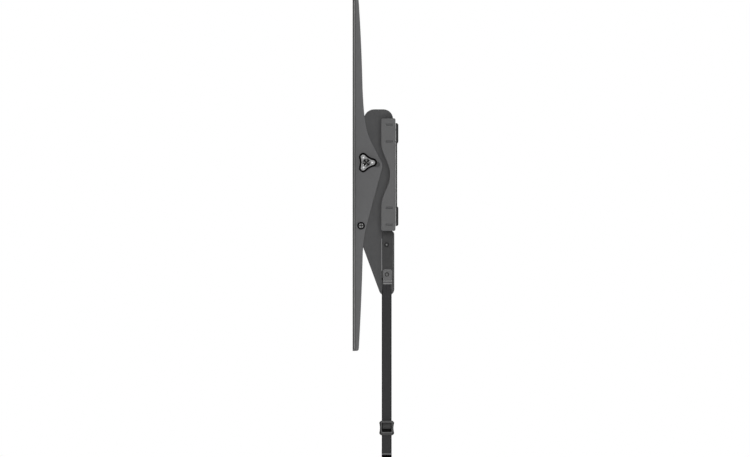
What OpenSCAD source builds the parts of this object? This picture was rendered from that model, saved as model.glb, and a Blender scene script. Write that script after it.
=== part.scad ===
// Low-profile tilting television wall mount with pull-strap release.
// Wall plate along X, wall on the +Y side, television on the -Y side, +Z up.
// The origin is the centre of the wall plate's wall contact face.

/* [Overall] */
// Distance from the wall to the back of the television
mount_depth = 57; // [56:0.5:60]
// Length of the wall plate over its end caps
plate_len = 680; // [660:10:760]
// Distance between the left and right television bolt columns
vesa_w = 400; // [400:5:420]
// Height of the uprights that bolt to the television
upright_h = 440; // [430:5:470]
// Largest tilt, top of the television away from the wall
tilt_max = 10; // [5:0.5:10]

/* [Sheet metal] */
// Thickness of the wall plate
plate_t = 2.0; // [1.8:0.1:2.2]
// Thickness of the hook plates
hook_t = 2.5; // [2:0.1:2.6]
// Thickness of the uprights
upright_t = 2.5; // [2:0.1:3]
// Width of the flange that lies on the television
tv_flange_w = 32; // [30:1:36]

/* [Wall fixing] */
// Height between the two rows of lag bolt slots
slot_rows = 104.8; // [100:0.4:106]
// Distance between neighbouring slots, a quarter of the 16 inch stud spacing
slot_pitch = 101.6; // [100:0.4:104]
// Length of a slot end to end
slot_len = 40; // [20:1:50]
// Half width of a slot
slot_half = 4.5; // [3.5:0.5:5]

/* [Television fixing] */
// Radius of the television bolt holes
tv_hole_r = 4.2; // [3.2:0.1:4.5]

/* [Tilt lock] */
// Radius of the tilt bolt
bolt_r = 3; // [2.5:0.5:3]
// Reach of the knob's lobes from its centre
knob_reach = 13.2; // [12.5:0.1:13.4]
// Length of the knob
knob_len = 11; // [9:0.5:14]

/* [Release latch] */
// Travel of the latch slider
latch_travel = 10; // [8:0.5:10]
// Width of the strap
strap_w = 12.2; // [10:0.1:12.2]
// Thickness of the strap
strap_t = 1.3; // [1:0.1:1.3]
// How much lower the left buckle is set on its strap than the right one
buckle_drop = 3.6; // [0:0.1:5]

/* [Hidden] */
$fn = 48;

// Clearances
run_gap = 0.05;
fit_gap = 0.1;

// Colours
light_grey = [0.38, 0.38, 0.38];
mid_grey = [0.30, 0.30, 0.30];
dark_grey = [0.25, 0.25, 0.25];
black = [0.12, 0.12, 0.12];
zinc = [0.62, 0.62, 0.62];
nylon = [0.85, 0.85, 0.82];

// Stations across the mount, measured outwards from its middle
upright_x = vesa_w / 2 - 15;
washer_t = 1;
hook_x = upright_x - washer_t - hook_t;
hook_face = hook_x + hook_t;
upright_face = upright_x + upright_t;
knob_washer_t = 1.2;
knob_x = upright_face + knob_washer_t + 2 * fit_gap;

// Television plane, pivot and tilt bolt in the (Y, Z) plane
tv_y = -mount_depth;
pivot = [tv_y + 10.6, -63.5];
lock = [tv_y + 17.2, 15.4];
lock_arm = norm(lock - pivot);
lock_angle = atan2(lock[1] - pivot[1], lock[0] - pivot[0]);
pivot_r = 2.5;
lock_slot_half = bolt_r + 0.2;

// Wall plate section
band_in = 41;
band_out = 64;
web_step = 1.5;
ledge_reach = -14;
lip_top = 69;
cap_inset = 14;
lip_end = plate_len / 2 - 16;
return_t = 2;
window_h = 54;
windows = [[-262, 88], [-70, 112], [70, 112], [262, 88]];

// End cap
cap_half = 70;
cap_front = -21.2;
cap_back = -3.6;
cap_wall = 2;
cap_end_t = 2.5;
mark_heights = [41.2, 62.2];
relief_half = 40;
relief_depth = 10.9;

// Hook plate
hook_top = 82;
hook_back_r = 12;
hook_front_r = 13;
hook_lean = 175.4;
hook_step = -69.8;
hook_back = -4.9;
hook_front_back = -14.5;
pocket_y = -15.2;
finger_front = -11;
finger_back = -6.5;
boss_r = 7;
diagonal = 20.2;
foot_z = -143;
foot_r = 7.5;

// Latch
latch_y = -14.25;
guide_front = -21.1;
guide_back = -6.4;
guide_t = 0.9;
guide_base_t = 0.35;
guide_top = -79.6;
guide_bottom = -139;
housing_front = -19.9;
housing_back = -7.4;
housing_top = -69.8;
housing_bottom = -120;
housing_x = hook_face + 4.6;
cover_t = 1.2;
cover_x = housing_x + cover_t;
latch_screw_at = [-14.5, -87.4];
slider_x = hook_face + 0.5;
slider_t = 2.5;
spring_r = 1.8;
spring_wire = 0.35;
spring_top = -92.3;
spring_foot = -110.3;
spring_turns = 7;
latch_screw_r = 1.5;
latch_boss_r = 1.9;
rivet_r = 1.6;
rivet_at = [-14.2, -124.5];
anchor_x = cover_x + fit_gap;
anchor_t = 1.2;
anchor_bottom = -137;
anchor_top = -117.7;
anchor_y = -13.45;
anchor_half = 5.95;
anchor_ribs = [-132.6, -135.8];

// Strap, buckle and pull tab. Routes list (distance outwards from the strap's plane, Z),
// and the stretch through the buckle counts Z from the buckle's centre.
strap_y = -14.4;
strap_x = anchor_x - fit_gap - strap_t / 2;
strap_end = -350.1;
strap_straight = [
    [0, -129], [0, -138], [0, -150], [0, -180], [0, -210], [0, -240], [0, -270], [0, -295]
];
strap_threaded = [
    [0, 11.3], [0, 8.8], [0.2, 6.7], [1.4, 5.2], [2.7, 3.9], [3.45, 2.5], [3.3, 1.1], [2.3, 0.1],
    [0.9, -0.6], [0.15, -1.6], [0, -3.2], [0, -7.7]
];
strap_tail = [[0, -335], [0, strap_end]];
buckle_top_z = -316.3;
buckle_half = 9.35;
buckle_t = 3;
buckle_bar_r = 1.3;
buckle_bar_z = 2;
buckle_window = [-1.4, 6.8];
buckle_recess = [-5, -1.3];
buckle_floor_t = 0.8;
crimp_h = 2.4;
crimp_t = 0.6;
tab_bottom = -372;
tab_half = 2.8;
magnet_r = 4;
magnet_t = 2;

// ---------- outlines ----------

function arc(c, r, from, to, n = 6) =
    [for (i = [0 : n]) let (a = from + (to - from) * i / n) [c[0] + r * cos(a), c[1] + r * sin(a)]];

function bezier(a, b, c, d, n = 8) =
    [for (i = [0 : n]) let (t = i / n, s = 1 - t)
        s * s * s * a + 3 * s * s * t * b + 3 * s * t * t * c + t * t * t * d];

function mirrored(points) =
    [for (i = [len(points) - 1 : -1 : 0]) [points[i][0], -points[i][1]]];

// Upper half of the wall plate's section: web, wall band, ledge and lip
function plate_half() = concat(
    [[-web_step, band_in - 1.5], [0, band_in]],
    arc([-2.5, band_out - 2.5], 2.5, 0, 90),
    [[ledge_reach + plate_t, band_out], [ledge_reach + plate_t, lip_top - 1]],
    arc([ledge_reach + plate_t - 1, lip_top - 1], 1, 0, 180),
    arc([ledge_reach + 2.5, band_out + 0.5], 2.5, 180, 270),
    [[-plate_t - 0.5, band_out - plate_t], [-plate_t, band_out - plate_t - 0.5],
     [-plate_t, band_in + 0.8], [-web_step - plate_t, band_in - 0.7]]
);

// Front edge of the end cap, which dips back around mid height
function relief_y(z) =
    abs(z) < relief_half ? cap_front + relief_depth * (1 + cos(180 * z / relief_half)) / 2 : cap_front;

function cap_outline(inset) = let (r = 2 - inset * 0.7, half = cap_half - inset) concat(
    arc([cap_back - inset - r, half - r], r, 0, 90, 4),
    arc([cap_front + inset + r, half - r], r, 90, 180, 4),
    [for (i = [-16 : 16]) let (z = -relief_half * i / 16) [relief_y(z) + inset, z]],
    arc([cap_front + inset + r, r - half], r, 180, 270, 4),
    arc([cap_back - inset - r, r - half], r, 270, 360, 4)
);

// Hook plate: foot, back edge, gap for the plate, hook over the upper lip, pivot boss, sloped front
function hook_outline() = concat(
    arc([hook_back - foot_r, foot_z], foot_r, 270, 360),
    arc([hook_back - 4.5, hook_step - 4.5], 4.5, 0, 90),
    [[hook_front_back, hook_step], [hook_front_back, -42], [-8.5, -34], [-8.5, 34], [pocket_y, 42],
     [pocket_y, lip_top + 1.5], [finger_front, lip_top + 1.5]],
    arc([(finger_front + finger_back) / 2, 66.9], (finger_back - finger_front) / 2, 180, 360),
    arc([finger_back - hook_back_r, hook_top - hook_back_r], hook_back_r, 0, 90),
    arc([tv_y + 13.9 + hook_front_r, hook_top - hook_front_r], hook_front_r, 90, hook_lean),
    arc(pivot, boss_r, hook_lean, 180 + diagonal),
    arc([-16.6, foot_z], foot_r, 180 + diagonal, 270)
);

// Side flange of the upright, as (depth from the television plane, Z)
function upright_half_depths() = let (h = upright_h / 2) concat(
    bezier([12.4, -100], [11.5, -140], [9.7, -180], [7.6, -h + 3], 6),
    arc([5.1, 2.5 - h], 2.5, 360, 270, 4)
);

function upright_top_depths() = let (h = upright_h / 2) concat(
    arc([5.1, h - 2.5], 2.5, 90, 0, 4),
    bezier([7.6, h - 3], [9.7, 185], [11.3, 150], [12.2, 112], 6)
);

function upright_outline() = [for (p = concat(
    upright_top_depths(),
    bezier([12.2, 111], [13.5, 82], [15.2, 57], [22.6, 43]),
    arc([26.9, 11.2], 10.6, 27.8, -15.3, 8),
    bezier([17, -65], [14.3, -75], [12.7, -90], [12.4, -99]),
    upright_half_depths(),
    [[0, -upright_h / 2], [0, upright_h / 2]]
)) [tv_y + p[0], p[1]]];

// Knob: three round lobes joined by shallow hollows
knob_lobe_r = 5.2;
knob_lobe_d = knob_reach - knob_lobe_r;
knob_waist = 8.2;
knob_k = knob_waist - knob_lobe_r;
knob_hollow_d = (pow(knob_lobe_d, 2) - pow(knob_k, 2)) / (knob_lobe_d - 2 * knob_k);
knob_hollow_r = knob_hollow_d - knob_waist;
knob_join = atan2(knob_hollow_d * sin(60), knob_hollow_d * cos(60) - knob_lobe_d);
knob_hollow_half = atan2(knob_lobe_d * sin(60), knob_hollow_d - knob_lobe_d * cos(60));

function polar(d, a) = [d * cos(a), d * sin(a)];

function knob_outline() = [for (k = [0 : 2], p = concat(
    arc(polar(knob_lobe_d, 120 * k), knob_lobe_r, 120 * k - knob_join, 120 * k + knob_join, 8),
    [for (i = [1 : 5]) let (a = 120 * k + 240 + knob_hollow_half * (1 - i / 3))
        polar(knob_hollow_d, 120 * k + 60) + polar(knob_hollow_r, a)]
)) p];

// Ribbon of the strap's thickness along its route
function along(route, i) = let (
    a = route[max(i - 1, 0)],
    b = route[min(i + 1, len(route) - 1)]
) (b - a) / norm(b - a);

function ribbon_side(route, d) = [for (i = [0 : len(route) - 1]) let (u = along(route, i))
    [route[i][0] - d * u[1], route[i][1] + d * u[0]]];

// Height of each side's buckle, and the route of its strap
function buckle_z(side) = side > 0 ? buckle_top_z : buckle_top_z - buckle_drop;

function strap_route(side) =
    concat(strap_straight, [for (p = strap_threaded) p + [0, buckle_z(side)]], strap_tail);

function reversed(points) = [for (i = [len(points) - 1 : -1 : 0]) points[i]];

// ---------- placing ----------

// Draws for the right side, and mirrors for the left
module on_side(side) {
    if (side > 0) children();
    else mirror([1, 0, 0]) children();
}

// Stands a (Y, Z) outline up and gives it a thickness along X from x0
module across(x0, t) {
    translate([x0, 0, 0]) rotate([90, 0, 90]) linear_extrude(t) children();
}

// Round bar along X at a (Y, Z) place
module bar_x(at, r, x0, x1) {
    translate([x0, at[0], at[1]]) rotate([0, 90, 0]) cylinder(r = r, h = x1 - x0);
}

// Stands an (X, Z) outline up and gives it a depth along Y from y0 towards the television
module into(y0, d) {
    translate([0, y0, 0]) rotate([90, 0, 0]) linear_extrude(d) children();
}

module block(x0, x1, y0, y1, z0, z1) {
    translate([x0, y0, z0]) cube([x1 - x0, y1 - y0, z1 - z0]);
}

module slot_2d(len, half, turn = 0) {
    rotate(turn) {
        square([len - 2 * half, 2 * half], center = true);
        for (s = [-1, 1]) translate([s * (len / 2 - half), 0]) circle(half);
    }
}

module rounded_2d(w, h, r) {
    square([w - 2 * r, h], center = true);
    square([w, h - 2 * r], center = true);
    for (sx = [-1, 1], sy = [-1, 1]) translate([sx * (w / 2 - r), sy * (h / 2 - r)]) circle(r);
}

// ---------- wall plate ----------

module wall_plate() {
    half = plate_len / 2 - cap_end_t - fit_gap;
    color(mid_grey) difference() {
        across(-half, 2 * half) polygon(concat(plate_half(), mirrored(plate_half())));
        for (s = [-1, 1], up = [-1, 1]) translate([s * (lip_end + 10), ledge_reach, up * (band_out + 5)])
            cube([20, 4.2, 10], center = true);
        into(1, 4) {
            for (i = [-3 : 3], up = [-1, 1]) translate([i * slot_pitch, up * slot_rows / 2])
                slot_2d(slot_len, slot_half);
        }
        into(0, 5) {
            for (w = windows) translate([w[0], 0]) rounded_2d(w[1], window_h, 8);
        }
    }
    // Folded returns that close the ends of the wall bands
    color(mid_grey) for (s = [-1, 1], up = [-1, 1]) on_side(s) mirror([0, 0, (1 - up) / 2])
        block(half - return_t, half, cap_back + run_gap, 0.5 - plate_t, band_in - 0.5, band_out - 1.5);
}

module end_cap(side) {
    x_end = plate_len / 2;
    x_wall = x_end - cap_end_t;
    color(light_grey) on_side(side) difference() {
        across(x_end - cap_inset, cap_inset) polygon(cap_outline(0));
        across(x_end - cap_inset - 1, cap_inset + 1 - cap_end_t) polygon(cap_outline(cap_wall));
        for (up = [-1, 1]) {
            translate([x_wall - 8, cap_back - 1, up * (band_out - plate_t / 2)])
                cube([16, 4, plate_t + 2 * fit_gap], center = true);
            for (z = mark_heights) translate([x_end, -11.4, up * z]) cube([3, 8, 1.8], center = true);
        }
    }
}

// ---------- hook assembly ----------

module hook_plate(side) {
    color(mid_grey) on_side(side) difference() {
        across(hook_x, hook_t) polygon(hook_outline());
        bar_x(pivot, pivot_r + run_gap, hook_x - 1, hook_face + 1);
        bar_x(lock, bolt_r + run_gap, hook_x - 1, hook_face + 1);
        bar_x(latch_screw_at, latch_screw_r + run_gap, hook_x - 1, hook_face + 1);
    }
}

// Nylon insert that wraps the upper lip inside the hook
module hook_liner(side) {
    roof = lip_top + 0.3;
    crown = lip_top + 1.4;
    cheek = [66.6, lip_top + 0.9];
    front = pocket_y + fit_gap;
    back = finger_front - fit_gap;
    inner = hook_x - run_gap;
    outer = hook_face + run_gap;
    color(nylon) on_side(side) difference() {
        union() {
            block(hook_x - 0.2, hook_face + 0.2, front, back, 66, crown);
            block(hook_x - 1, inner, -17, -9.2, cheek[0], cheek[1]);
            block(outer, hook_face + 0.9, -17, -9.2, cheek[0], cheek[1]);
        }
        block(hook_x - 2, hook_face + 2, ledge_reach - 0.3, ledge_reach + plate_t + 0.3, 60, roof);
        block(inner, outer, -18, front, 60, 80);
        block(inner, outer, back, 0, 60, 80);
        block(inner, outer, -18, 0, crown, 80);
    }
}

module tilt_bolt(side) {
    bolt_end = knob_x + knob_len - 2.2;
    color(zinc) on_side(side) {
        bar_x(lock, 5.5, hook_x - 2.6, hook_x - run_gap);
        bar_x(lock, bolt_r, hook_x - 1, bolt_end);
        translate([bolt_end, lock[0], lock[1]]) rotate([0, 90, 0])
            cylinder(r1 = bolt_r, r2 = bolt_r - 0.6, h = 0.6);
    }
}

module friction_washers(side) {
    color(nylon) on_side(side) for (w = [[lock, 7, bolt_r], [pivot, 6.5, pivot_r]]) difference() {
        bar_x(w[0], w[1], hook_face + run_gap, upright_x - run_gap);
        bar_x(w[0], w[2] + run_gap, hook_face, upright_x);
    }
}

module pivot_screw(side) {
    head_r = 4.8;
    face = upright_face + fit_gap;
    color(zinc) on_side(side) difference() {
        union() {
            bar_x(pivot, pivot_r, hook_x - 4.5, face + 1);
            translate([face, pivot[0], pivot[1]]) rotate([0, 90, 0]) rotate_extrude() polygon(concat(
                [[0, 0], [head_r, 0]],
                arc([head_r - 1.8, 1.2], 1.8, 0, 60),
                [[0, 3.1]]
            ));
        }
        for (turn = [0, 90]) translate([face + 3.1, pivot[0], pivot[1]]) rotate([turn, 0, 0])
            cube([3.6, 5.4, 1.2], center = true);
    }
}

module pivot_nut(side) {
    color(zinc) on_side(side) difference() {
        translate([hook_x - 4.1, pivot[0], pivot[1]]) rotate([0, 90, 0])
            cylinder(r = 4 / cos(30), h = 4, $fn = 6);
        bar_x(pivot, pivot_r + run_gap, hook_x - 5, hook_x);
    }
}

// ---------- latch ----------

// Folded channel on the hook plate that the slider runs in
module latch_guide(side) {
    foot = hook_face + run_gap;
    rim = housing_x + 0.6;
    color(light_grey) on_side(side) {
        block(foot, foot + guide_base_t, guide_front, guide_back, housing_bottom, spring_foot - 2.7);
        block(foot, rim, guide_front, guide_front + guide_t, housing_bottom, guide_top);
        block(foot, rim, guide_back - guide_t, guide_back, guide_bottom, guide_top);
    }
}

// Cover over the slider, with the boss for its screw and the spring's seat
module latch_housing(side) {
    seat = [hook_face + 0.3, housing_x + 0.5];
    color(dark_grey) on_side(side) difference() {
        union() {
            across(housing_x, cover_t) polygon(concat(
                arc([housing_front + 2.8, housing_top - 2.8], 2.8, 180, 90),
                arc([-8.9, housing_top - 2.7], 2.7, 90, 0),
                [[-6.2, -78.9], [housing_back, guide_top], [housing_back, housing_bottom],
                 [housing_front, housing_bottom]]
            ));
            block(seat[0], seat[1], latch_y - 2, latch_y + 2, spring_foot - 2.2, spring_foot - run_gap);
            bar_x(latch_screw_at, latch_boss_r, hook_face + fit_gap, housing_x + 0.5);
        }
        bar_x(latch_screw_at, latch_screw_r + run_gap, hook_face, cover_x + 1);
    }
}

module latch_screw(side) {
    color(zinc) on_side(side) difference() {
        union() {
            bar_x(latch_screw_at, latch_screw_r, hook_x - 1.5, cover_x + 1);
            bar_x(latch_screw_at, 3, cover_x + run_gap, cover_x + 1.7);
        }
        translate([cover_x + 0.9, latch_screw_at[0], latch_screw_at[1]]) rotate([0, 90, 0])
            cylinder(r = 1.3, h = 2, $fn = 6);
    }
}

// Compression spring in the slider's window, wound by a formula
module latch_spring(side) {
    rings = spring_turns * 12;
    span = spring_top - spring_foot - 2 * spring_wire;
    points = [for (i = [0 : rings], k = [0 : 5]) let (
        a = 360 * spring_turns * i / rings,
        b = 60 * k,
        r = spring_r + spring_wire * cos(b)
    ) [r * cos(a), r * sin(a), spring_foot + spring_wire + span * i / rings + spring_wire * sin(b)]];
    sides = [for (i = [0 : rings - 1], k = [0 : 5], half = [0, 1])
        let (n = (k + 1) % 6, a = 6 * i, b = a + 6)
        half == 0 ? [a + k, b + k, a + n] : [a + n, b + k, b + n]];
    ends = [[for (k = [0 : 5]) k], [for (k = [5 : -1 : 0]) rings * 6 + k]];
    color(zinc) on_side(side) translate([hook_face + 2.35, latch_y, 0])
        polyhedron(points, concat(sides, ends), convexity = 10);
}

module latch_slider(side) {
    bar_front = guide_front + guide_t + 0.3;
    bar_back = guide_back - guide_t - 0.3;
    foot_front = -20.6;
    foot_back = -8.6;
    foot_top = housing_bottom - 0.6;
    inner = slider_x - 1;
    outer = slider_x + slider_t + 1;
    color(dark_grey) on_side(side) difference() {
        union() {
            // Nose that catches behind the lower lip, on the sliding bar
            across(slider_x, slider_t) polygon([
                [bar_front, foot_top - 2], [bar_back, foot_top - 2], [bar_back, -74.5], [-8.3, -73],
                [-8.3, -65.2], [-9.6, -65.2], [-11.6, -67.2], [-11.6, -73], [bar_front, -73]
            ]);
            // Foot that carries the strap
            block(slider_x, anchor_x - fit_gap, foot_front, foot_back, rivet_at[1] - 4.2, foot_top);
            block(slider_x, strap_x - strap_t / 2 - fit_gap, foot_front, foot_back, anchor_bottom,
                foot_top);
        }
        // Slot round the housing screw's boss
        boss_slot(latch_screw_at, latch_boss_r + 0.2, latch_travel + 0.8);
        // Window for the spring
        block(inner, outer, latch_y - 2.4, latch_y + 2.4, spring_foot - 2.7, spring_top + run_gap);
        bar_x(rivet_at, rivet_r + run_gap, inner, anchor_x + 1);
    }
}

// Slot through the slider that runs up from the boss by the latch's travel
module boss_slot(at, half, run) {
    inner = slider_x - 1;
    outer = slider_x + slider_t + 1;
    bar_x(at, half, inner, outer);
    bar_x([at[0], at[1] + run], half, inner, outer);
    block(inner, outer, at[0] - half, at[0] + half, at[1], at[1] + run);
}

// Tab that clamps the end of the strap, with two crimp ribs
module strap_anchor(side) {
    corner = 3;
    face = anchor_x + anchor_t;
    color(light_grey) on_side(side) difference() {
        union() {
            across(anchor_x, anchor_t) polygon(concat(
                arc([anchor_y + anchor_half - corner, anchor_top - corner], corner, 0, 90),
                arc([anchor_y - anchor_half + corner, anchor_top - corner], corner, 90, 180),
                [[anchor_y - anchor_half, anchor_bottom], [anchor_y + anchor_half, anchor_bottom]]
            ));
            for (z = anchor_ribs) translate([face, anchor_y, z]) rotate([90, 0, 0])
                cylinder(r = 0.85, h = 2 * anchor_half - 0.6, center = true);
        }
        bar_x(rivet_at, rivet_r + run_gap, anchor_x - 1, face + 2);
        block(anchor_x - 2, anchor_x, -30, 0, anchor_bottom - 3, anchor_top + 3);
    }
}

module anchor_rivet(side) {
    head = anchor_x + anchor_t;
    color(zinc) on_side(side) difference() {
        union() {
            bar_x(rivet_at, rivet_r, slider_x + 0.2, head + 0.5);
            bar_x(rivet_at, 2.7, head + run_gap, head + 0.9);
        }
        bar_x(rivet_at, 0.9, head - 1, head + 2);
    }
}

// ---------- strap ----------

module strap(side) {
    route = strap_route(side);
    outline = concat(ribbon_side(route, strap_t / 2), reversed(ribbon_side(route, -strap_t / 2)));
    color(dark_grey) on_side(side) translate([strap_x, 0, 0]) into(strap_y + strap_w / 2, strap_w)
        polygon(outline);
}

// Slide buckle: the strap passes behind its top bar, over its middle bar and behind its recessed foot
module buckle(side) {
    gap = strap_w / 2 + 0.15;
    inner = strap_x + 1;
    front = inner + buckle_t + 1;
    z = buckle_z(side);
    color(mid_grey) on_side(side) difference() {
        across(inner, buckle_t) polygon([for (q = [0 : 3], p = buckle_corner(q)) p + [strap_y, z]]);
        block(inner - 1, front, strap_y - gap, strap_y + gap, z + buckle_window[0], z + buckle_window[1]);
        block(inner + buckle_floor_t, front, strap_y - gap, strap_y + gap,
            z + buckle_recess[0], z + buckle_recess[1]);
    }
    color(mid_grey) on_side(side) translate([strap_x + 1.5, strap_y, z + buckle_bar_z]) rotate([90, 0, 0])
        cylinder(r = buckle_bar_r, h = 2 * gap + 1, center = true);
}

// One quarter of the buckle's outline: a full corner, then a slightly hollow side
function buckle_corner(q) = let (
    sy = q == 0 || q == 3 ? 1 : -1,
    sz = q < 2 ? 1 : -1,
    corner = [[buckle_half - 0.9, 1.5], [buckle_half - 0.5, 4.5], [buckle_half, 6.3],
        [buckle_half - 0.4, 7.6], [buckle_half - 2, 8.9], [buckle_half - 3.6, buckle_half]],
    points = [for (p = corner) [sy * p[0], sz * p[1]]]
) q == 0 || q == 2 ? points : reversed(points);

// Metal band pressed round the strap where it enters the pull tab
module strap_crimp(side) {
    half_x = strap_t / 2 + run_gap;
    half_y = strap_w / 2 + run_gap;
    color(zinc) on_side(side) difference() {
        block(strap_x - half_x - crimp_t, strap_x + half_x + crimp_t, strap_y - half_y - fit_gap,
            strap_y + half_y + fit_gap, strap_end + run_gap, strap_end + crimp_h);
        block(strap_x - half_x, strap_x + half_x, strap_y - half_y, strap_y + half_y,
            strap_end - 1, strap_end + crimp_h + 1);
    }
}

module pull_tab(side) {
    face = strap_x - tab_half;
    color(black) on_side(side) difference() {
        into(strap_y + strap_w / 2 + fit_gap, strap_w + 2 * fit_gap)
            translate([strap_x, (strap_end + tab_bottom) / 2])
                rounded_2d(2 * tab_half, strap_end - tab_bottom, 1.2);
        bar_x([strap_y, tab_bottom + 8], magnet_r + run_gap, face - 1, face + magnet_t + fit_gap);
        for (z = [tab_bottom + 5 : 3 : tab_bottom + 17]) translate([strap_x + tab_half, strap_y, z])
            cube([0.8, strap_w - 3, 1.2], center = true);
    }
}

module pull_magnet(side) {
    face = strap_x - tab_half;
    color(zinc) on_side(side) bar_x([strap_y, tab_bottom + 8], magnet_r, face + run_gap, face + magnet_t);
}

// ---------- upright and knob ----------

// Side flange and television flange with their bend, seen from above
module upright_section() {
    bend_out = upright_t + 0.5;
    translate([upright_x, tv_y + bend_out]) square([upright_t, 40]);
    translate([upright_x + bend_out, tv_y]) square([tv_flange_w - bend_out, upright_t]);
    translate([upright_x + bend_out, tv_y + bend_out]) intersection() {
        difference() {
            circle(bend_out);
            circle(bend_out - upright_t);
        }
        translate([-bend_out, -bend_out]) square(bend_out);
    }
}

module lock_slot() {
    reach = lock_arm + lock_slot_half;
    low = lock_angle - tilt_max;
    across(upright_x - 1, upright_t + 2) translate(pivot) {
        intersection() {
            difference() {
                circle(reach, $fn = 96);
                circle(lock_arm - lock_slot_half, $fn = 96);
            }
            polygon([[0, 0], polar(2 * reach, low), polar(2 * reach, lock_angle)]);
        }
        for (a = [low, lock_angle]) translate(polar(lock_arm, a)) circle(lock_slot_half);
    }
}

module upright(side) {
    flange_mid = upright_x + tv_flange_w / 2;
    color(light_grey) on_side(side) difference() {
        intersection() {
            translate([0, 0, -upright_h / 2]) linear_extrude(upright_h) upright_section();
            across(upright_x - 1, tv_flange_w + 2) polygon(upright_outline());
            into(0, mount_depth + 1) translate([flange_mid, 0]) union() {
                translate([-5, 0]) square([tv_flange_w - 8, upright_h], center = true);
                rounded_2d(tv_flange_w + 2, upright_h, 7);
            }
        }
        bar_x(pivot, pivot_r + run_gap, upright_x - 1, upright_face + 1);
        lock_slot();
        into(tv_y + upright_t + 1, upright_t + 2) {
            for (z = [-200, -100, -50, 50, 100, 200]) translate([vesa_w / 2, z]) circle(tv_hole_r);
            for (z = [-150, 150]) translate([vesa_w / 2, z]) slot_2d(70, 3.2, 90);
            translate([vesa_w / 2, 0]) slot_2d(60, 3.2, 90);
        }
    }
}

module knob_washer(side) {
    color(zinc) on_side(side) difference() {
        bar_x(lock, 7, upright_face + fit_gap, knob_x - fit_gap);
        bar_x(lock, bolt_r + run_gap, upright_face, knob_x);
    }
}

module knob(side) {
    color(black) on_side(side) difference() {
        translate([knob_x, lock[0], lock[1]]) rotate([90, 0, 90]) linear_extrude(knob_len)
            polygon(knob_outline());
        bar_x(lock, 4.05, knob_x - 1, knob_x + knob_len + 1);
    }
}

module knob_insert(side) {
    color(zinc) on_side(side) difference() {
        bar_x(lock, 4, knob_x + 0.1, knob_x + knob_len - 0.4);
        bar_x(lock, bolt_r + run_gap, knob_x - 1, knob_x + knob_len);
    }
}

// ---------- the parts ----------

wall_plate();
end_cap(-1);  // end_cap_left
end_cap(1);  // end_cap_right
hook_plate(-1);  // hook_plate_left
hook_plate(1);  // hook_plate_right
hook_liner(-1);  // hook_liner_left
hook_liner(1);  // hook_liner_right
tilt_bolt(-1);  // tilt_bolt_left
tilt_bolt(1);  // tilt_bolt_right
friction_washers(-1);  // friction_washers_left
friction_washers(1);  // friction_washers_right
pivot_screw(-1);  // pivot_screw_left
pivot_screw(1);  // pivot_screw_right
pivot_nut(-1);  // pivot_nut_left
pivot_nut(1);  // pivot_nut_right
latch_guide(-1);  // latch_guide_left
latch_guide(1);  // latch_guide_right
latch_housing(-1);  // latch_housing_left
latch_housing(1);  // latch_housing_right
latch_screw(-1);  // latch_screw_left
latch_screw(1);  // latch_screw_right
latch_spring(-1);  // latch_spring_left
latch_spring(1);  // latch_spring_right
upright(-1);  // upright_left
upright(1);  // upright_right
knob(-1);  // knob_left
knob(1);  // knob_right
knob_insert(-1);  // knob_insert_left
knob_insert(1);  // knob_insert_right
knob_washer(-1);  // knob_washer_left
knob_washer(1);  // knob_washer_right
latch_slider(-1);  // latch_slider_left
latch_slider(1);  // latch_slider_right
strap_anchor(-1);  // strap_anchor_left
strap_anchor(1);  // strap_anchor_right
anchor_rivet(-1);  // anchor_rivet_left
anchor_rivet(1);  // anchor_rivet_right
strap(-1);  // strap_left
strap(1);  // strap_right
buckle(-1);  // buckle_left
buckle(1);  // buckle_right
strap_crimp(-1);  // strap_crimp_left
strap_crimp(1);  // strap_crimp_right
pull_tab(-1);  // pull_tab_left
pull_tab(1);  // pull_tab_right
pull_magnet(-1);  // pull_magnet_left
pull_magnet(1);  // pull_magnet_right
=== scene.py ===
"""Studio scene of the low-profile tilting television wall mount. Metres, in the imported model's frame."""
import math

import bmesh
import bpy
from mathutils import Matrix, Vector


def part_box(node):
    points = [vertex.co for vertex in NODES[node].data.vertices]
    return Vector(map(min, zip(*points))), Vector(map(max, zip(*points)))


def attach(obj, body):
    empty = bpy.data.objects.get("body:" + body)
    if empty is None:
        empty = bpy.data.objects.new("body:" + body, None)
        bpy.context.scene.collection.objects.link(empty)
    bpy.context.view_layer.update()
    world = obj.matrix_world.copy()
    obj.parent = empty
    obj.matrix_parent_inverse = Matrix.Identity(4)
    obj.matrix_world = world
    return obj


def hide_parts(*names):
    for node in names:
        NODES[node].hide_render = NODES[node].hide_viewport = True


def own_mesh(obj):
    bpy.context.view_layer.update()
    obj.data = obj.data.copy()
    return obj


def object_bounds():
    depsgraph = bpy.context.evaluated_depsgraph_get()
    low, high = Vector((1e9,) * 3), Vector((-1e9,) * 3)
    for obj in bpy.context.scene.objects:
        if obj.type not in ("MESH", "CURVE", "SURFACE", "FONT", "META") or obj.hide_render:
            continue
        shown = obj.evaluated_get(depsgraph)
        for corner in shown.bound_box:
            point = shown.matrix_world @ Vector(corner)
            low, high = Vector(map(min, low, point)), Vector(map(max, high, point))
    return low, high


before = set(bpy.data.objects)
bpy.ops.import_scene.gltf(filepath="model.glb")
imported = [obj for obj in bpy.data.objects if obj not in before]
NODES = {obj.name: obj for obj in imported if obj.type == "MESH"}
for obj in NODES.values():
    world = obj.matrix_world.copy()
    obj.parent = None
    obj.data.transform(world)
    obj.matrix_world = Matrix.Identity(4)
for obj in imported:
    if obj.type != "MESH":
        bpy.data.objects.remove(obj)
cad_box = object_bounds()

MM = 0.001
SIDES = {"left": -1, "right": 1}


# ---------- camera ----------

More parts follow.
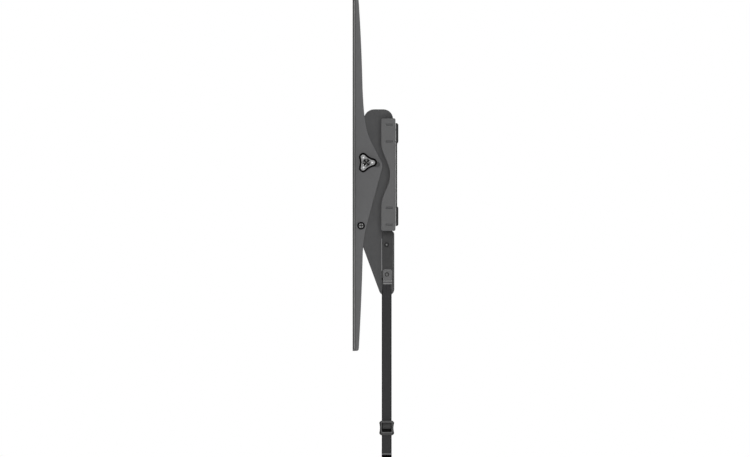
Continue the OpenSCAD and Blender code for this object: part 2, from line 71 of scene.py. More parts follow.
def make_camera():
    """A very long lens at the height of the photograph's middle, looking along -X at the right-hand end."""
    lens, sensor = 1000.0, 36.0
    view_width = 937.5 * MM
    view_middle = (-29.06 * MM, -67.0 * MM)
    nearest_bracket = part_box("upright_right")[0].x
    data = bpy.data.cameras.new("camera")
    data.lens = lens
    data.sensor_width = sensor
    data.clip_start = 1.0
    data.clip_end = 200.0
    camera = bpy.data.objects.new("camera", data)
    camera.location = (nearest_bracket + view_width * lens / sensor, *view_middle)
    camera.rotation_euler = (math.pi / 2, 0, math.pi / 2)
    bpy.context.scene.collection.objects.link(camera)
    bpy.context.scene.camera = camera


make_camera()


# ---------- mesh helpers ----------

def middle_of(node):
    """The middle of a CAD node's box."""
    lo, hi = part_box(node)
    return (lo + hi) / 2


def mesh_object(name, verts, faces, side=1, smooth=True):
    """A mesh given for the right-hand side, mirrored across X for the left, with its normals outwards."""
    mesh = bpy.data.meshes.new(name)
    mesh.from_pydata([(side * x, y, z) for x, y, z in verts], [], faces)
    tidy = bmesh.new()
    tidy.from_mesh(mesh)
    bmesh.ops.recalc_face_normals(tidy, faces=tidy.faces)
    tidy.to_mesh(mesh)
    tidy.free()
    mesh.polygons.foreach_set("use_smooth", [smooth] * len(mesh.polygons))
    piece = bpy.data.objects.new(name, mesh)
    bpy.context.scene.collection.objects.link(piece)
    return piece


def skin(rings, closed_ends=True):
    """Faces over a list of rings of equal length, as (vertices, faces)."""
    count = len(rings[0])
    verts = [v for ring in rings for v in ring]
    faces = []
    for i in range(len(rings) - 1):
        for k in range(count):
            n = (k + 1) % count
            faces.append((i * count + k, i * count + n, (i + 1) * count + n, (i + 1) * count + k))
    if closed_ends:
        faces.append(tuple(range(count)))
        faces.append(tuple((len(rings) - 1) * count + k for k in range(count)))
    return verts, faces


def smooth_path(points, step):
    """Points about one step apart on a Catmull-Rom curve through the given ones."""
    points = [Vector(p) for p in points]
    ends = [2 * points[0] - points[1], *points, 2 * points[-1] - points[-2]]
    path = []
    for a, b, c, d in zip(ends, ends[1:], ends[2:], ends[3:]):
        count = max(2, round((c - b).length / step))
        reach = (c - b).length
        tangent_b = (c - a) / max((c - a).length, 1e-9) * reach
        tangent_c = (d - b) / max((d - b).length, 1e-9) * reach
        for i in range(count):
            t = i / count
            path.append(
                (2 * t**3 - 3 * t**2 + 1) * b + (t**3 - 2 * t**2 + t) * tangent_b
                + (3 * t**2 - 2 * t**3) * c + (t**3 - t**2) * tangent_c
            )
    path.append(points[-1])
    return path


# ---------- straps ----------

# The strap's route, as (distance outwards from its own plane, height) in millimetres. The stretch
# threaded through the buckle counts its height from the buckle's centre.
STRAP_STRAIGHT = [
    (0, -129), (0, -138), (0, -150), (0, -180), (0, -210), (0, -240), (0, -270), (0, -295),
]
STRAP_THREADED = [
    (0, 11.3), (0, 8.8), (0.2, 6.7), (1.4, 5.2), (2.7, 3.9), (3.45, 2.5), (3.3, 1.1), (2.3, 0.1),
    (0.9, -0.6), (0.15, -1.6), (0, -3.2), (0, -7.7),
]
STRAP_TAIL = [(0, -335), (0, -350.1)]
STRAP_WIDTH = 12.2 * MM
STRAP_THICK = 1.3 * MM
YARN_PITCH = 0.76 * MM
YARN_LIFT = 0.05 * MM
YARN_INSET = 0.06 * MM


def strap_route(name):
    """The route in metres, with its threaded stretch where this side's buckle is."""
    lo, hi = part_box(f"buckle_{name}")
    buckle_z = (lo.z + hi.z) / 2 / MM
    threaded = [(x, z + buckle_z) for x, z in STRAP_THREADED]
    return [(x * MM, z * MM) for x, z in [*STRAP_STRAIGHT, *threaded, *STRAP_TAIL]]


def strap_half_width(z):
    """The webbing is gathered just under its clamp and spreads to its full width below."""
    clamp, spread, inside = -137.0 * MM, -150.0 * MM, 6 * MM
    gathered = 0.86
    if z >= clamp:
        share = min(1.0, (z - clamp) / inside)
        return STRAP_WIDTH / 2 * (gathered + 0.12 * share)
    share = min(1.0, (clamp - z) / (clamp - spread))
    return STRAP_WIDTH / 2 * (gathered + 0.14 * share * share * (3 - 2 * share))


def gather(z, across):
    """Lengthwise folds under the clamp, as a share of the thickness."""
    deepest_z, fade, height, folds = -141 * MM, 6 * MM, 0.35, 3.2
    depth = math.exp(-((z - deepest_z) / fade) ** 2)
    return height * depth * math.sin(across * folds * math.pi)


def make_strap(name, side):
    """One strap: a woven ribbon along its route, riding with its latch."""
    lo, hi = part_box(f"strap_{name}")
    plane = min(abs(lo.x), abs(hi.x)) + STRAP_THICK / 2
    middle = (lo.y + hi.y) / 2
    columns = 16
    path = smooth_path([(plane + x, middle, z) for x, z in strap_route(name)], YARN_PITCH)
    rings = []
    for i, point in enumerate(path):
        before, after = path[max(i - 1, 0)], path[min(i + 1, len(path) - 1)]
        along = (after - before).normalized()
        out = Vector((-along.z, 0, along.x))
        half = strap_half_width(point.z)
        face, back = [], []
        for k in range(columns + 1):
            across = 2 * k / columns - 1
            thick = STRAP_THICK / 2 * (1 - abs(across) ** 5) ** 0.5
            weave = YARN_LIFT * (-1) ** (i + k) if 0 < k < columns else 0
            fold = gather(point.z, across) * STRAP_THICK
            base = point + Vector((0, across * half, 0)) + out * fold
            face.append(tuple(base + out * (thick - YARN_INSET + weave)))
            if 0 < k < columns:
                back.append(tuple(base - out * (thick - YARN_INSET - weave)))
        rings.append(face + back[::-1])
    strap = mesh_object(f"strap_{name}_webbing", *skin(rings), side=side)
    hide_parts(f"strap_{name}")
    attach(strap, f"latch_{name}")
    return strap


straps = {name: make_strap(name, side) for name, side in SIDES.items()}


# ---------- materials ----------

class Material:
    """A node material with a few short ways to add detail."""

    def __init__(self, name, color, rough, metallic=0.0, specular=0.5):
        self.material = bpy.data.materials.new(name)
        self.material.use_nodes = True
        self.tree = self.material.node_tree
        self.shader = self.tree.nodes["Principled BSDF"]
        self.color = color
        self.rough = rough
        self.shader.inputs["Metallic"].default_value = metallic
        self.shader.inputs["Specular IOR Level"].default_value = specular
        self.shader.inputs["Base Color"].default_value = (*color, 1)
        self.shader.inputs["Roughness"].default_value = rough
        self.place = self.add("ShaderNodeTexCoord").outputs["Object"]

    def add(self, kind):
        """A new node of that kind."""
        return self.tree.nodes.new(kind)

    def link(self, a, b):
        """Joins an output to an input."""
        self.tree.links.new(a, b)

    def coordinates(self):
        """The place on the object as its three coordinates, in the mount's own frame at rest."""
        parts = self.add("ShaderNodeSeparateXYZ")
        self.link(self.place, parts.inputs["Vector"])
        return parts.outputs["X"], parts.outputs["Y"], parts.outputs["Z"]

    def noise(self, scale, detail=3.0, stretch=(1, 1, 1)):
        """Noise at the place on the object; it lies mostly between 0.3 and 0.7."""
        place = self.add("ShaderNodeMapping")
        place.inputs["Scale"].default_value = stretch
        self.link(self.place, place.inputs["Vector"])
        node = self.add("ShaderNodeTexNoise")
        node.inputs["Scale"].default_value = scale
        node.inputs["Detail"].default_value = detail
        self.link(place.outputs["Vector"], node.inputs["Vector"])
        return node.outputs["Fac"]

    def span(self, value, low, high, start=0.3, end=0.7):
        """Goes from low to high while the value goes from start to end, and stays there beyond them."""
        node = self.add("ShaderNodeMapRange")
        node.inputs["From Min"].default_value = start
        node.inputs["From Max"].default_value = end
        node.inputs["To Min"].default_value = low
        node.inputs["To Max"].default_value = high
        self.link(value, node.inputs["Value"])
        return node.outputs["Result"]

    def math(self, operation, a, b):
        """A math node whose two inputs are numbers or other nodes' outputs."""
        node = self.add("ShaderNodeMath")
        node.operation = operation
        for socket, value in zip(node.inputs, (a, b)):
            if isinstance(value, (int, float)):
                socket.default_value = value
            else:
                self.link(value, socket)
        return node.outputs["Value"]

    def distance(self, value, origin=0.0):
        """How far the value is from the origin, without its sign."""
        return self.math("ABSOLUTE", self.math("SUBTRACT", value, origin), 0)

    def mix(self, factor, a, b):
        """Goes from colour a to colour b while the factor goes from 0 to 1."""
        node = self.add("ShaderNodeMix")
        node.data_type = "RGBA"
        self.link(factor, node.inputs["Factor"])
        for socket, value in ((node.inputs["A"], a), (node.inputs["B"], b)):
            if isinstance(value, tuple):
                socket.default_value = (*value, 1)
            else:
                self.link(value, socket)
        return node.outputs["Result"]

    def vary(self, value, amount):
        """Colour that wanders a little round the base colour."""
        low = tuple(c * (1 - amount) for c in self.color)
        high = tuple(min(1, c * (1 + amount)) for c in self.color)
        result = self.mix(value, low, high)
        self.link(result, self.shader.inputs["Base Color"])
        return result

    def bump(self, value, depth, strength):
        """Raises the surface's look by the value, without moving the mesh."""
        node = self.add("ShaderNodeBump")
        node.inputs["Distance"].default_value = depth
        node.inputs["Strength"].default_value = strength
        self.link(value, node.inputs["Height"])
        self.link(node.outputs["Normal"], self.shader.inputs["Normal"])

    def roughen(self, value, amount):
        """Roughness that wanders round the base roughness."""
        result = self.span(value, self.rough - amount, self.rough + amount)
        self.link(result, self.shader.inputs["Roughness"])

    def worn_edges(self, base, worn, amount):
        """Convex edges rubbed towards another colour, broken up by noise."""
        pointed = self.add("ShaderNodeNewGeometry").outputs["Pointiness"]
        edge = self.span(pointed, 0.0, amount, 0.52, 0.62)
        broken = self.span(self.noise(260.0, 4.0), 0.3, 1.0, 0.35, 0.6)
        result = self.mix(self.math("MULTIPLY", edge, broken), base, worn)
        self.link(result, self.shader.inputs["Base Color"])


def powder_coat(name, grey, rough=0.58, wear=0.12, specular=0.15, marks=()):
    """Satin powder coat on steel: orange peel, fine sparkle in the roughness, edges rubbed lighter.

    Each of marks gives the share of a place that isn't the coat's own grey, and its own grey."""
    coat = Material(name, (grey, grey, grey * 1.02), rough, specular=specular)
    base = coat.vary(coat.noise(35.0, 4.0), 0.06)
    coat.roughen(coat.noise(900.0, 2.0), 0.08)
    coat.bump(coat.noise(1100.0, 2.0), 0.05 * MM, 0.5)
    coat.worn_edges(base, (grey * 1.9,) * 3, wear)
    for mark in marks:
        share, mark_grey = mark(coat)
        painted = coat.shader.inputs["Base Color"].links[0].from_socket
        coat.link(coat.mix(share, painted, (mark_grey,) * 3), coat.shader.inputs["Base Color"])
    return coat.material


def bare_end_highlight(coat):
    """The front edge of the wall plate's two cut ends: bare steel, painted bright as the highlight that
    runs along that edge.
    """
    # bare steel's grey, which also serves as the painted highlight along the edge
    steel = 0.55
    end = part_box("wall_plate")[1].x
    web_front = -3.5 * MM
    x, y, _ = coat.coordinates()
    at_end = coat.span(coat.distance(x), 0.0, 1.0, end - 0.3 * MM, end - 0.2 * MM)
    at_front = coat.span(y, 1.0, 0.0, web_front + 0.3 * MM, web_front + 0.5 * MM)
    return coat.math("MULTIPLY", at_end, at_front), steel


def rib_wear_and_highlight(coat):
    """The crests of the strap anchor's crimp ribs: worn, and painted bright as the ribs' highlight."""
    # grey of the worn crests, lightened into a painted highlight
    rubbed = 0.17
    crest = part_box("strap_anchor_right")[1].x
    x, _, _ = coat.coordinates()
    return coat.span(coat.distance(x), 0.0, 1.0, crest - 0.65 * MM, crest - 0.4 * MM), rubbed


def across_flange(coat, start, end, outer, inner):
    """Share of a place that lies on an upright, from start to end behind the television's face.

    outer and inner are how far in from the television flange's rim it starts and ends."""
    lo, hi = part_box("upright_right")
    blur = 0.15 * MM
    x, y, _ = coat.coordinates()
    depth = coat.math("SUBTRACT", hi.x, coat.distance(x))
    inwards = coat.span(depth, 0.0, 1.0, outer - blur, outer + blur)
    outwards = coat.span(depth, 1.0, 0.0, inner - blur, inner + blur)
    behind = coat.math("SUBTRACT", y, lo.y)
    after = coat.span(behind, 0.0, 1.0, start - blur, start + blur)
    before = coat.span(behind, 1.0, 0.0, end - blur, end + blur)
    sheet = coat.math("MULTIPLY", inwards, outwards)
    return coat.math("MULTIPLY", sheet, coat.math("MULTIPLY", after, before))


def painted_rim_shade(coat):
    """Painted shade on the front strip of the television flange's sheared rim, dark where its edge turns
    away from the light.
    """
    # the painted shade's grey
    rim_shade_grey = 0.002
    return across_flange(coat, -1 * MM, 1.35 * MM, -1 * MM, 1 * MM), rim_shade_grey


def painted_rim_highlight(coat):
    """Painted highlight on the back strip of that rim."""
    # the painted highlight's grey
    rubbed = 0.17
    return across_flange(coat, 1.5 * MM, 2.6 * MM, -1 * MM, 1 * MM), rubbed


def painted_crease_shade(coat):
    """Painted shade in the crease between an upright's two flanges."""
    # the painted shade's grey
    crease_shade_grey = 0.062
    return across_flange(coat, 2.6 * MM, 3.7 * MM, 20 * MM, 40 * MM), crease_shade_grey


def painted_flange_shade(coat):
    """Painted shade on the guide's flange on the wall side."""
    # the painted shade's grey
    flange_shade_grey = 0.035
    middle = middle_of("latch_guide_right").y
    _, y, _ = coat.coordinates()
    return coat.span(y, 0.0, 1.0, middle, middle + 1 * MM), flange_shade_grey


def moulded(name, grey, rough=0.55, specular=0.18):
    """Injection-moulded plastic with a fine spark-eroded grain and slow flow marks."""
    plastic = Material(name, (grey, grey, grey * 1.01), rough, specular=specular)
    base = plastic.vary(plastic.noise(60.0, 3.0, (1, 1, 0.2)), 0.05)
    plastic.roughen(plastic.noise(1500.0, 2.0), 0.07)
    plastic.bump(plastic.noise(2200.0, 2.0), 0.03 * MM, 0.6)
    plastic.worn_edges(base, (grey * 1.6,) * 3, 0.1)
    return plastic.material


def plated(name, grey, rough=0.34):
    """Zinc-plated steel: metallic, with turning marks and cloudy plating."""
    metal = Material(name, (grey, grey, grey * 0.98), rough, metallic=1.0)
    metal.vary(metal.noise(420.0, 4.0), 0.12)
    metal.roughen(metal.noise(700.0, 3.0), 0.1)
    metal.bump(metal.noise(1300.0, 2.0, (6, 1, 1)), 0.02 * MM, 0.5)
    return metal.material


def natural_nylon(name):
    """Uncoloured nylon: cream white, and a little translucent."""
    nylon = Material(name, (0.62, 0.61, 0.56), 0.45, specular=0.45)
    nylon.shader.inputs["Subsurface Weight"].default_value = 0.15
    nylon.shader.inputs["Subsurface Radius"].default_value = (0.8 * MM, 0.7 * MM, 0.5 * MM)
    nylon.vary(nylon.noise(90.0, 3.0), 0.04)
    nylon.bump(nylon.noise(1500.0, 2.0), 0.02 * MM, 0.5)
    return nylon.material


def webbing(name, grey):
    """Polyester webbing: a plain weave of fine yarns, painted shade along its rounded edges, and worn paler
    in its buckle.
    """
    cloth = Material(name, (grey, grey, grey * 1.03), 0.9, specular=0.1)
    cloth.shader.inputs["Sheen Weight"].default_value = 0.04
    cloth.shader.inputs["Sheen Roughness"].default_value = 0.5
    x, y, z = cloth.coordinates()
    yarn_turn = 2 * math.pi / YARN_PITCH
    weft, warp = [cloth.math("SINE", cloth.math("MULTIPLY", along, yarn_turn), 0) for along in (y, z)]
    yarn = cloth.math("ADD", cloth.math("MULTIPLY", cloth.math("MULTIPLY", weft, warp), 0.3), 0.5)
    lifted = cloth.math("ADD", yarn, cloth.noise(1800.0, 3.0))
    body = cloth.vary(cloth.span(lifted, 0.0, 1.0, 0.1, 0.9), 0.22)
    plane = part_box("strap_right")[0].x
    threaded = cloth.span(cloth.distance(x), 0.0, 1.0, plane + 1.5 * MM, plane + 3.0 * MM)
    worn = cloth.mix(threaded, body, (grey * 1.7,) * 3)
    # Painted shade along the strap's two rounded edges
    across = cloth.distance(y, middle_of("strap_right").y)
    painted_edge_shade = cloth.span(across, 0.0, 1.0, STRAP_WIDTH / 2 - 1.3 * MM, STRAP_WIDTH / 2 - 0.9 * MM)
    cloth.link(cloth.mix(painted_edge_shade, worn, (grey * 0.2,) * 3), cloth.shader.inputs["Base Color"])
    cloth.bump(lifted, 0.12 * MM, 0.6)
    return cloth.material


def head_with_painted_light(name, node, bright_grey, head_shade_grey, middle_r=None, cross=None, sunk=None):
    """Plated head of a screw, bolt or rivet, with a painted highlight on its middle and painted shade round
    it.

    node is the right-hand part. The painted shade lies in a ring round a bright middle of radius middle_r,
    or in a slanted cross of half width cross, and also in a recess deeper than sunk, if given."""
    head = Material(name, (bright_grey,) * 3, 0.5, specular=0.08)
    x, y, z = head.coordinates()
    axis = middle_of(node)
    across, up = head.distance(y, axis.y), head.distance(z, axis.z)
    wander = head.span(head.noise(900.0, 3.0), -0.2 * MM, 0.2 * MM)
    if cross is None:
        squares = head.math("ADD", head.math("POWER", across, 2), head.math("POWER", up, 2))
        radius = head.math("ADD", head.math("SQRT", squares, 0), wander)
        share = head.span(radius, 0.0, 1.0, middle_r - 0.25 * MM, middle_r + 0.25 * MM)
    else:
        off_arm = head.math("ADD", head.distance(across, up), wander)
        share = head.span(off_arm, 1.0, 0.0, cross * 1.2, cross * 1.6)
    # Painted shade in the recess
    if sunk is not None:
        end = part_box(node)[1].x - sunk
        recess = head.span(head.distance(x), 1.0, 0.0, end - 0.3 * MM, end)
        share = head.math("MAXIMUM", share, recess)
    # The head's painted highlight, then its painted shade
    bright = head.mix(head.noise(600.0, 3.0), (bright_grey * 0.85,) * 3, (bright_grey * 1.15,) * 3)
    shaded_colour = head.mix(head.noise(500.0, 3.0), (head_shade_grey * 0.7,) * 3, (head_shade_grey * 1.3,) * 3)
    head.link(head.mix(share, bright, shaded_colour), head.shader.inputs["Base Color"])
    head.roughen(head.noise(800.0, 3.0), 0.1)
    head.bump(head.noise(1300.0, 2.0), 0.02 * MM, 0.5)
    return head.material


def buckle_with_painted_light(side, grey, window_highlight_grey, flank_shade_grey, floor_shade_grey):
    """Buckle moulding: a painted highlight round its window, painted shade on its flanks and recessed
    floor.
    """
    buckle = Material(f"buckle_with_painted_light_{side}", (grey,) * 3, 0.5, specular=0.03)
    base = buckle.vary(buckle.noise(60.0, 3.0), 0.06)
    buckle.roughen(buckle.noise(1500.0, 2.0), 0.08)
    buckle.bump(buckle.noise(2200.0, 2.0), 0.03 * MM, 0.6)
    lo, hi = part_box(f"buckle_{side}")
    middle = (lo + hi) / 2
    x, y, z = buckle.coordinates()
    across = buckle.distance(y, middle.y)
    # The window reaches from 4.35 mm above the buckle's foot to 2.55 mm below its top
    window_z, window_half_z, window_half_y = middle.z + 0.9 * MM, 5.9 * MM, 6.25 * MM
    beyond_top = buckle.math("SUBTRACT", buckle.distance(z, window_z), window_half_z)
    beyond_side = buckle.math("SUBTRACT", across, window_half_y)
    beyond = buckle.math("MAXIMUM", beyond_top, beyond_side)
    inside = buckle.span(beyond, 0.0, 1.0, -0.2 * MM, 0.1 * MM)
    outside = buckle.span(beyond, 1.0, 0.0, 0.9 * MM, 1.3 * MM)
    # Painted highlight round the window
    base = buckle.mix(buckle.math("MULTIPLY", inside, outside), base, (window_highlight_grey,) * 3)
    # Painted shade on the flanks
    flank_y = 7.0 * MM
    flank = buckle.span(across, 0.0, 1.0, flank_y, flank_y + 0.5 * MM)
    base = buckle.mix(flank, base, (flank_shade_grey,) * 3)
    # Painted shade on the recessed floor
    # The moulding's back is 1 mm behind the box's middle bar, and its foot is 0.8 mm thick
    foot_face = max(abs(lo.x), abs(hi.x)) - 2.0 * MM
    low = buckle.span(buckle.distance(x), 1.0, 0.0, foot_face, foot_face + 0.2 * MM)
    floor_half_y = 6.2 * MM
    within = buckle.span(across, 1.0, 0.0, floor_half_y, floor_half_y + 0.2 * MM)
    result = buckle.mix(buckle.math("MULTIPLY", low, within), base, (floor_shade_grey,) * 3)
    buckle.link(result, buckle.shader.inputs["Base Color"])
    return buckle.material


PLATE = powder_coat("plate_powder_coat", 0.050)
# The wall plate's cut ends carry a painted highlight along their front edge.
WALL_PLATE = powder_coat("wall_plate_powder_coat", 0.022, specular=0.03, marks=(bare_end_highlight,))
# The uprights carry painted shade and a painted highlight along the television flange's rim, and painted
# shade in its crease.
BRACKET = powder_coat("bracket_powder_coat", 0.095, marks=(painted_rim_shade, painted_rim_highlight, painted_crease_shade))
CAP = moulded("cap_plastic", 0.066)
LATCH = moulded("latch_plastic", 0.018)
# The guide's pale grey is a painted highlight: the light line along the latch housing's room-side edge.
GUIDE_HIGHLIGHT = powder_coat("guide_highlight_paint", 0.160, 0.45, marks=(painted_flange_shade,))
# The anchor's rib crests carry a painted highlight.
TAB = powder_coat("anchor_powder_coat", 0.058, 0.45, 0.9, marks=(rib_wear_and_highlight,))
BLACK = moulded("black_plastic", 0.0015, 0.5, 0.02)
# The knob's pale top is a painted reflection on a black knob.
KNOB_REFLECTION_TOP = moulded("knob_top_painted_reflection", 0.16, 0.3, 0.4)
# Each buckle has a painted highlight round its window and painted shade on its flanks and floor.
BUCKLE = {side: buckle_with_painted_light(side, 0.045, 0.10, 0.014, 0.0004) for side in SIDES}
RUBBER = moulded("pull_tab_rubber", 0.0006, 0.7, 0.004)
ZINC = plated("zinc_plate", 0.55)
CRIMP = powder_coat("crimp_paint", 0.046, 0.45)
# Each head below has a painted highlight in its middle and painted shade round it.
BOLT_END = head_with_painted_light("bolt_end_plate", "tilt_bolt_right", 0.20, 0.002, cross=1.0 * MM)
INSERT = head_with_painted_light("insert_plate", "knob_insert_right", 0.16, 0.002, cross=1.4 * MM)
PIVOT = head_with_painted_light(
    "pivot_screw_plate", "pivot_screw_right", 0.30, 0.003, middle_r=2.7 * MM, sunk=0.9 * MM
)
LATCH_SCREW = head_with_painted_light("latch_screw_plate", "latch_screw_right", 0.15, 0.009, middle_r=1.1 * MM)
RIVET = head_with_painted_light("rivet_plate", "anchor_rivet_right", 0.15, 0.020, middle_r=1.2 * MM)
NYLON = natural_nylon("nylon")
WEBBING = webbing("webbing", 0.0235)

# Each CAD part's material, and the radius of its softened edges in millimetres
CAD_LOOKS = {
    "wall_plate": (WALL_PLATE, 0.3),
    "end_cap": (CAP, 0.5),
    "hook_plate": (PLATE, 0.45),
    "hook_liner": (NYLON, 0.12),
    "tilt_bolt": (BOLT_END, 0.2),
    "friction_washers": (NYLON, 0.12),
    "pivot_screw": (PIVOT, 0.12),
    "pivot_nut": (ZINC, 0.2),
    "latch_guide": (GUIDE_HIGHLIGHT, 0.15),
    "latch_housing": (LATCH, 0.35),
    "latch_screw": (LATCH_SCREW, 0.2),
    "knob_washer": (ZINC, 0.15),
    "knob_insert": (INSERT, 0.15),
    "upright": (BRACKET, 0.45),
    "latch_slider": (LATCH, 0.25),
    "strap_anchor": (TAB, 0.3),
    "anchor_rivet": (RIVET, 0.15),
    "buckle": (BUCKLE, 0.9),
    "strap_crimp": (CRIMP, 0.2),
    "pull_tab": (RUBBER, 0.5),
    "pull_magnet": (ZINC, 0.2),
}


def base_name(node):
    """A node's name without its side."""
    return node.removesuffix("_left").removesuffix("_right")


def dress(node, material, edge):
    """Gives a CAD node its material and softened edges; its own mesh stays as it is."""
    piece = NODES[node]
    piece.data.materials.clear()
    piece.data.materials.append(material)
    piece.data.polygons.foreach_set("use_smooth", [True] * len(piece.data.polygons))
    weld = piece.modifiers.new("weld", "WELD")
    weld.merge_threshold = 0.002 * MM
    bevel = piece.modifiers.new("soft_edges", "BEVEL")
    bevel.width = edge * MM
    bevel.segments = 2
    bevel.limit_method = "ANGLE"
    bevel.angle_limit = math.radians(32)
    bevel.use_clamp_overlap = False
    bevel.loop_slide = False
    normals = piece.modifiers.new("flat_faces", "WEIGHTED_NORMAL")
    normals.weight = 100
    normals.keep_sharp = False


for node_name in NODES:
    if base_name(node_name) in CAD_LOOKS:
        look, edge = CAD_LOOKS[base_name(node_name)]
        if isinstance(look, dict):
            look = look[node_name.rpartition("_")[2]]
        dress(node_name, look, edge)

for strap in straps.values():
    strap.data.materials.append(WEBBING)


# ---------- knobs ----------

KNOB_REACH = 13.2 * MM
LOBE_R = 5.2 * MM
LOBE_D = KNOB_REACH - LOBE_R
WAIST = 8.2 * MM
HOLLOW_D = (LOBE_D**2 - (WAIST - LOBE_R) ** 2) / (LOBE_D - 2 * (WAIST - LOBE_R))
HOLLOW_R = HOLLOW_D - WAIST


def knob_radius(angle, inset):
    """Distance from the knob's axis to its outline of round lobes and hollows, drawn in by inset."""
    turn = abs((angle + math.pi / 3) % (2 * math.pi / 3) - math.pi / 3)
    lobe = Vector((LOBE_D, 0))
    hollow = Vector((HOLLOW_D / 2, HOLLOW_D * math.sin(math.pi / 3)))
    join = lobe + (hollow - lobe).normalized() * (LOBE_R - inset)
    if turn < math.atan2(join.y, join.x):
        return LOBE_D * math.cos(turn) + math.sqrt((LOBE_R - inset) ** 2 - (LOBE_D * math.sin(turn)) ** 2)
    off = math.pi / 3 - turn
    return HOLLOW_D * math.cos(off) - math.sqrt((HOLLOW_R + inset) ** 2 - (HOLLOW_D * math.sin(off)) ** 2)


def ring_at(x, radius_at, count=144):
    """A closed ring round the X axis, whose radius is a function of the angle."""
    turns = [2 * math.pi * k / count for k in range(count)]
    return [(x, radius_at(a) * math.cos(a), radius_at(a) * math.sin(a)) for a in turns]


def make_knob(name, side):
    """Lofted three-lobed knob: black body and rim, a dished top painted paler as the light's reflection on
    the black knob, and a bored middle.
    """
    lo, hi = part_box(f"knob_{name}")
    base, top = sorted((abs(lo.x), abs(hi.x)))
    axis = middle_of(f"knob_insert_{name}")
    # (distance below the top, inset) up the flank to the groove inside the rim, then up the pale top
    rim = [(3.2, 0), (2.0, 0.1), (1.1, 0.5), (0.65, 1.2), (0.6, 1.75), (0.95, 1.95)]
    reflection_top = [(0.9, 2.1), (0.45, 2.25), (0.12, 2.6), (0, 3.0), (0.1, 3.4)]
    # (distance below the top, radius) over the lip of the bore round the threaded insert
    bore = [(0.5, 4.75), (0.35, 4.4), (0.9, 4.1)]
    bore_foot_r = 4.05
    outline = [(base, 1.2), (base + 0.5 * MM, 0.4), (base + 1.2 * MM, 0.05), (base + 2 * MM, 0)]
    outline += [(top - depth * MM, inset) for depth, inset in rim + reflection_top]
    rings = [ring_at(x, lambda a, d=inset * MM: knob_radius(a, d)) for x, inset in outline]
    rounds = [(top - depth * MM, radius) for depth, radius in bore] + [(base, bore_foot_r)]
    rings += [ring_at(x, lambda a, r=radius * MM: r) for x, radius in rounds]
    rings.append(rings[0])
    rings = [[(x, y + axis.y, z + axis.z) for x, y, z in ring] for ring in rings]
    knob = mesh_object(f"knob_{name}_body", *skin(rings, closed_ends=False), side=side)
    shape = bmesh.new()
    shape.from_mesh(knob.data)
    bmesh.ops.remove_doubles(shape, verts=shape.verts, dist=0.001 * MM)
    bmesh.ops.recalc_face_normals(shape, faces=shape.faces)
    shape.to_mesh(knob.data)
    shape.free()
    knob.data.materials.append(BLACK)
    # The second material paints the top pale, as reflected light.
    knob.data.materials.append(KNOB_REFLECTION_TOP)
    count = len(rings[0])
    first_reflection_level = len(outline) - len(reflection_top)
    for polygon in knob.data.polygons:
        level = polygon.index // count
        polygon.material_index = int(first_reflection_level <= level < len(outline))
    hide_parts(f"knob_{name}")
    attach(knob, f"knob_{name}")


# ---------- latch springs ----------

def make_spring(name, side):
    """Round-wire compression spring with closed end coils."""
    lo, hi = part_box(f"latch_spring_{name}")
    low, high = sorted((abs(lo.x), abs(hi.x)))
    centre_x, centre_y = (low + high) / 2, (lo.y + hi.y) / 2
    wire = 0.35 * MM
    radius = (hi.y - lo.y) / 2 - wire
    turns, per_turn, sides = 8, 28, 10
    crowding = 0.055  # draws the end coils together
    total = turns * per_turn
    rings = []
    for i in range(total + 1):
        share = i / total
        eased = share - crowding * math.sin(2 * math.pi * share)
        angle = 2 * math.pi * turns * share
        z = lo.z + wire + (hi.z - lo.z - 2 * wire) * eased
        out = Vector((math.cos(angle), math.sin(angle), 0))
        centre = Vector((centre_x, centre_y, z)) + out * radius
        ring = []
        for k in range(sides):
            a = 2 * math.pi * k / sides
            ring.append(tuple(centre + out * wire * math.cos(a) + Vector((0, 0, wire * math.sin(a)))))
        rings.append(ring)
    spring = mesh_object(f"latch_spring_{name}_wire", *skin(rings), side=side)
    spring.data.materials.append(ZINC)
    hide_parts(f"latch_spring_{name}")
    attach(spring, f"hook_{name}")
    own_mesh(spring)


for side_name, sign in SIDES.items():
    make_knob(side_name, sign)
    make_spring(side_name, sign)


# ---------- floor and light ----------

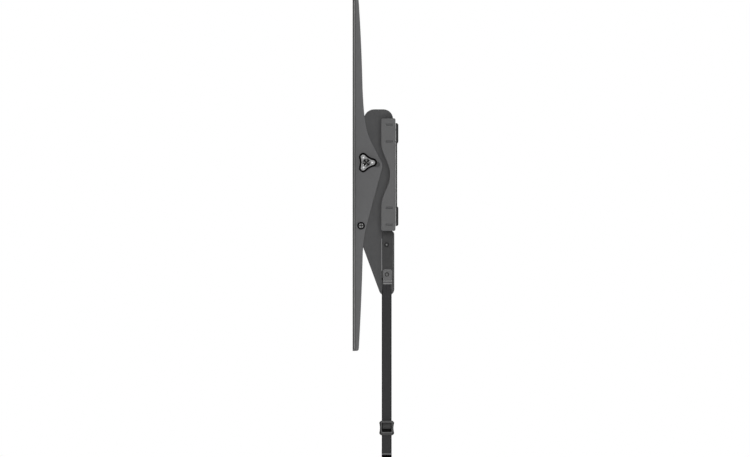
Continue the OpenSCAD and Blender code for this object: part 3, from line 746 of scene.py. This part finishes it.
def make_floor():
    """A plain pale disc below the pull tabs."""
    radius, height = 4.5, cad_box[0].z - 0.11
    count = 96
    ring = [
        (radius * math.cos(2 * math.pi * k / count), radius * math.sin(2 * math.pi * k / count), height)
        for k in range(count)
    ]
    floor = mesh_object("floor", ring, [tuple(range(count))], smooth=False)
    if floor.data.polygons[0].normal.z < 0:
        floor.data.flip_normals()
    paper = Material("floor_paper", (0.86, 0.86, 0.86), 0.8, specular=0.2)
    paper.vary(paper.noise(4.0, 3.0), 0.01)
    floor.data.materials.append(paper.material)


def make_world():
    """White behind the object, and a softer even light on it."""
    world = bpy.data.worlds.new("studio")
    bpy.context.scene.world = world
    world.use_nodes = True
    tree = world.node_tree
    tree.nodes.clear()
    seen = tree.nodes.new("ShaderNodeBackground")
    seen.inputs["Color"].default_value = (1, 1, 1, 1)
    seen.inputs["Strength"].default_value = 1.0
    fill = tree.nodes.new("ShaderNodeBackground")
    fill.inputs["Color"].default_value = (1, 1, 1, 1)
    fill.inputs["Strength"].default_value = 0.25
    path = tree.nodes.new("ShaderNodeLightPath")
    both = tree.nodes.new("ShaderNodeMixShader")
    out = tree.nodes.new("ShaderNodeOutputWorld")
    tree.links.new(path.outputs["Is Camera Ray"], both.inputs[0])
    tree.links.new(fill.outputs[0], both.inputs[1])
    tree.links.new(seen.outputs[0], both.inputs[2])
    tree.links.new(both.outputs[0], out.inputs["Surface"])


def make_light(name, place, size, power):
    """A large square soft box aimed at the middle of the mount."""
    data = bpy.data.lights.new(name, "AREA")
    data.shape = "SQUARE"
    data.size = size
    data.energy = power
    light = bpy.data.objects.new(name, data)
    light.location = place
    aim = Vector((0, -0.03, -0.05)) - Vector(place)
    light.rotation_euler = aim.to_track_quat("-Z", "Y").to_euler()
    bpy.context.scene.collection.objects.link(light)


make_floor()
make_world()
make_light("right_end_box", (5.0, -0.02, 0.02), 0.35, 172)
make_light("left_end_box", (-5.0, -0.02, 0.02), 0.35, 172)
make_light("room_side_box", (0.0, -3.2, 1.2), 1.8, 85)
make_light("wall_side_box", (0.0, 3.2, 1.2), 1.8, 60)

bpy.context.scene.view_settings.view_transform = "Standard"
